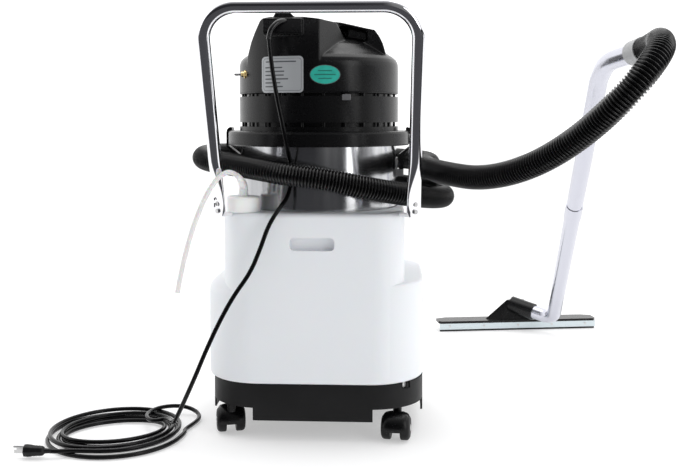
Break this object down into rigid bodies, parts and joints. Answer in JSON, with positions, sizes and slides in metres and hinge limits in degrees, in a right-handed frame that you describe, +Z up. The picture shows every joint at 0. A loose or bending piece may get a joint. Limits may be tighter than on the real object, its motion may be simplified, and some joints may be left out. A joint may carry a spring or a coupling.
{
  "type": "wet spot extractor",
  "caption": "Rolling wet spot extractor: a black vacuum head on a steel drum over a white solution tank, with push handle, corrugated hose and a floor squeegee wand.",
  "frame": {"origin": "middle of the footprint of the machine with its wand, on the floor; the cords, hose and plug are left out of that box", "axes": "+Z up; -Y is the machine's back, where the push handle is; +Y runs towards the floor tool; +X is to the right of someone facing the back"},
  "size_m": [1.3288, 1.4458, 0.8505],
  "materials": {
    "white_polyethylene": "satin",
    "black_plastic": "semi-gloss",
    "stainless_steel": "polished",
    "chrome": "mirror",
    "aluminium_rail": "satin",
    "brass": "satin",
    "rubber": "matte",
    "hose_plastic": "semi-gloss",
    "clear_tube": "translucent",
    "silver_label": "satin",
    "green_label": "satin",
    "float_plastic": "satin",
    "switch_red": "gloss",
    "caster_plastic": "semi-gloss",
    "caster_wheel": "matte"
  },
  "bodies": {
    "machine": {"base_tray": "black_plastic", "clip_brackets": "stainless_steel", "drain_fitting": "chrome", "handle_bolts": "chrome", "handle_brackets": "black_plastic", "handle_tube": "chrome", "hose_cuff": "black_plastic", "hose_port": "black_plastic", "inlet_elbow": "black_plastic", "intake_tube": "clear_tube", "pickup_strainer": "black_plastic", "pickup_tube": "clear_tube", "plug_body": "rubber", "plug_pins": "stainless_steel", "power_cord": "rubber", "power_cord_coil": "rubber", "rail_screws": "stainless_steel", "recovery_drum": "stainless_steel", "solution_tank": "white_polyethylene", "squeegee_lips": "rubber", "squeegee_plate": "black_plastic", "squeegee_rail": "aluminium_rail", "tool_socket": "black_plastic", "tube_sleeve": "white_polyethylene", "vacuum_hose": "hose_plastic", "wand_collar": "black_plastic", "wand_lower_tube": "chrome", "wand_upper_tube": "chrome"},
    "float": {"float_ball": "float_plastic"},
    "fan": {"motor_fan": "stainless_steel"},
    "vacuum_switch": {"switch_vacuum": "switch_red"},
    "pump_switch": {"switch_pump": "switch_red"},
    "left_clip": {"clip_left": "black_plastic"},
    "right_clip": {"clip_right": "black_plastic"},
    "cap": {"fill_cap": "white_polyethylene"},
    "head": {"head_lid": "black_plastic", "head_gasket": "rubber", "float_cage": "black_plastic", "head_vent_ring": "black_plastic", "head_cover": "black_plastic", "cord_hood": "black_plastic", "cord_relief": "rubber", "rating_plate": "silver_label", "oval_label": "green_label", "solution_outlet": "brass", "vacuum_motor": "stainless_steel", "solution_pump": "black_plastic", "switch_frames": "black_plastic"},
    "caster_rl": {"caster_rl_body": "caster_plastic"},
    "caster_rl_left_wheel": {"caster_rl_wheel_left": "caster_wheel"},
    "caster_rl_right_wheel": {"caster_rl_wheel_right": "caster_wheel"},
    "caster_rr": {"caster_rr_body": "caster_plastic"},
    "caster_rr_left_wheel": {"caster_rr_wheel_left": "caster_wheel"},
    "caster_rr_right_wheel": {"caster_rr_wheel_right": "caster_wheel"},
    "caster_fl": {"caster_fl_body": "caster_plastic"},
    "caster_fl_left_wheel": {"caster_fl_wheel_left": "caster_wheel"},
    "caster_fl_right_wheel": {"caster_fl_wheel_right": "caster_wheel"},
    "caster_fr": {"caster_fr_body": "caster_plastic"},
    "caster_fr_left_wheel": {"caster_fr_wheel_left": "caster_wheel"},
    "caster_fr_right_wheel": {"caster_fr_wheel_right": "caster_wheel"}
  },
  "joints": [
    {"name": "head_lift", "type": "slide", "parent": "machine", "child": "head", "axis": [0, 0, 1], "range_m": [0, 0.03]},
    {"name": "left_clip_swing", "type": "hinge", "parent": "machine", "child": "left_clip", "pos_m": [-0.448, -0.295, 0.524], "axis": [0, -1, 0], "range_deg": [0, 27.5]},
    {"name": "right_clip_swing", "type": "hinge", "parent": "machine", "child": "right_clip", "pos_m": [-0.1, -0.295, 0.524], "axis": [0, 1, 0], "range_deg": [0, 27.5]},
    {"name": "float_rise", "type": "slide", "parent": "head", "child": "float", "axis": [0, 0, 1], "range_m": [0, 0.044]},
    {"name": "fan_spin", "type": "hinge", "parent": "head", "child": "fan", "pos_m": [-0.274, -0.295, 0.65], "axis": [0, 0, 1], "continuous": true},
    {"name": "vacuum_switch_rock", "type": "hinge", "parent": "head", "child": "vacuum_switch", "pos_m": [-0.308, -0.135, 0.718], "axis": [-1, 0, 0], "range_deg": [0, 18]},
    {"name": "pump_switch_rock", "type": "hinge", "parent": "head", "child": "pump_switch", "pos_m": [-0.24, -0.135, 0.718], "axis": [-1, 0, 0], "range_deg": [0, 18]},
    {"name": "cap_turn", "type": "hinge", "parent": "machine", "child": "cap", "pos_m": [-0.4135, -0.45, 0.47], "axis": [0, 0, 1], "range_deg": [0, 270]},
    {"name": "caster_rl_swivel", "type": "hinge", "parent": "machine", "child": "caster_rl", "pos_m": [-0.442, -0.442, 0.06], "axis": [0, 0, 1], "continuous": true},
    {"name": "caster_rl_left_roll", "type": "hinge", "parent": "caster_rl", "child": "caster_rl_left_wheel", "pos_m": [-0.44635, -0.42453, 0.025], "axis": [0.9703, 0.2419, 0], "continuous": true},
    {"name": "caster_rl_right_roll", "type": "hinge", "parent": "caster_rl", "child": "caster_rl_right_wheel", "pos_m": [-0.44635, -0.42453, 0.025], "axis": [0.9703, 0.2419, 0], "continuous": true},
    {"name": "caster_rr_swivel", "type": "hinge", "parent": "machine", "child": "caster_rr", "pos_m": [-0.106, -0.442, 0.06], "axis": [0, 0, 1], "continuous": true},
    {"name": "caster_rr_left_roll", "type": "hinge", "parent": "caster_rr", "child": "caster_rr_left_wheel", "pos_m": [-0.10851, -0.45982, 0.025], "axis": [-0.9903, 0.1392, 0], "continuous": true},
    {"name": "caster_rr_right_roll", "type": "hinge", "parent": "caster_rr", "child": "caster_rr_right_wheel", "pos_m": [-0.10851, -0.45982, 0.025], "axis": [-0.9903, 0.1392, 0], "continuous": true},
    {"name": "caster_fl_swivel", "type": "hinge", "parent": "machine", "child": "caster_fl", "pos_m": [-0.442, -0.148, 0.06], "axis": [0, 0, 1], "continuous": true},
    {"name": "caster_fl_left_roll", "type": "hinge", "parent": "caster_fl", "child": "caster_fl_left_wheel", "pos_m": [-0.451, -0.13241, 0.025], "axis": [0.866, 0.5, 0], "continuous": true},
    {"name": "caster_fl_right_roll", "type": "hinge", "parent": "caster_fl", "child": "caster_fl_right_wheel", "pos_m": [-0.451, -0.13241, 0.025], "axis": [0.866, 0.5, 0], "continuous": true},
    {"name": "caster_fr_swivel", "type": "hinge", "parent": "machine", "child": "caster_fr", "pos_m": [-0.106, -0.148, 0.06], "axis": [0, 0, 1], "continuous": true},
    {"name": "caster_fr_left_roll", "type": "hinge", "parent": "caster_fr", "child": "caster_fr_left_wheel", "pos_m": [-0.09839, -0.13169, 0.025], "axis": [0.9063, -0.4226, 0], "continuous": true},
    {"name": "caster_fr_right_roll", "type": "hinge", "parent": "caster_fr", "child": "caster_fr_right_wheel", "pos_m": [-0.09839, -0.13169, 0.025], "axis": [0.9063, -0.4226, 0], "continuous": true}
  ],
  "couplings": [
    {"joint": "left_clip_swing", "follows": "head_lift", "rad_per_m": 15.7},
    {"joint": "right_clip_swing", "follows": "head_lift", "rad_per_m": 15.7}
  ]
}
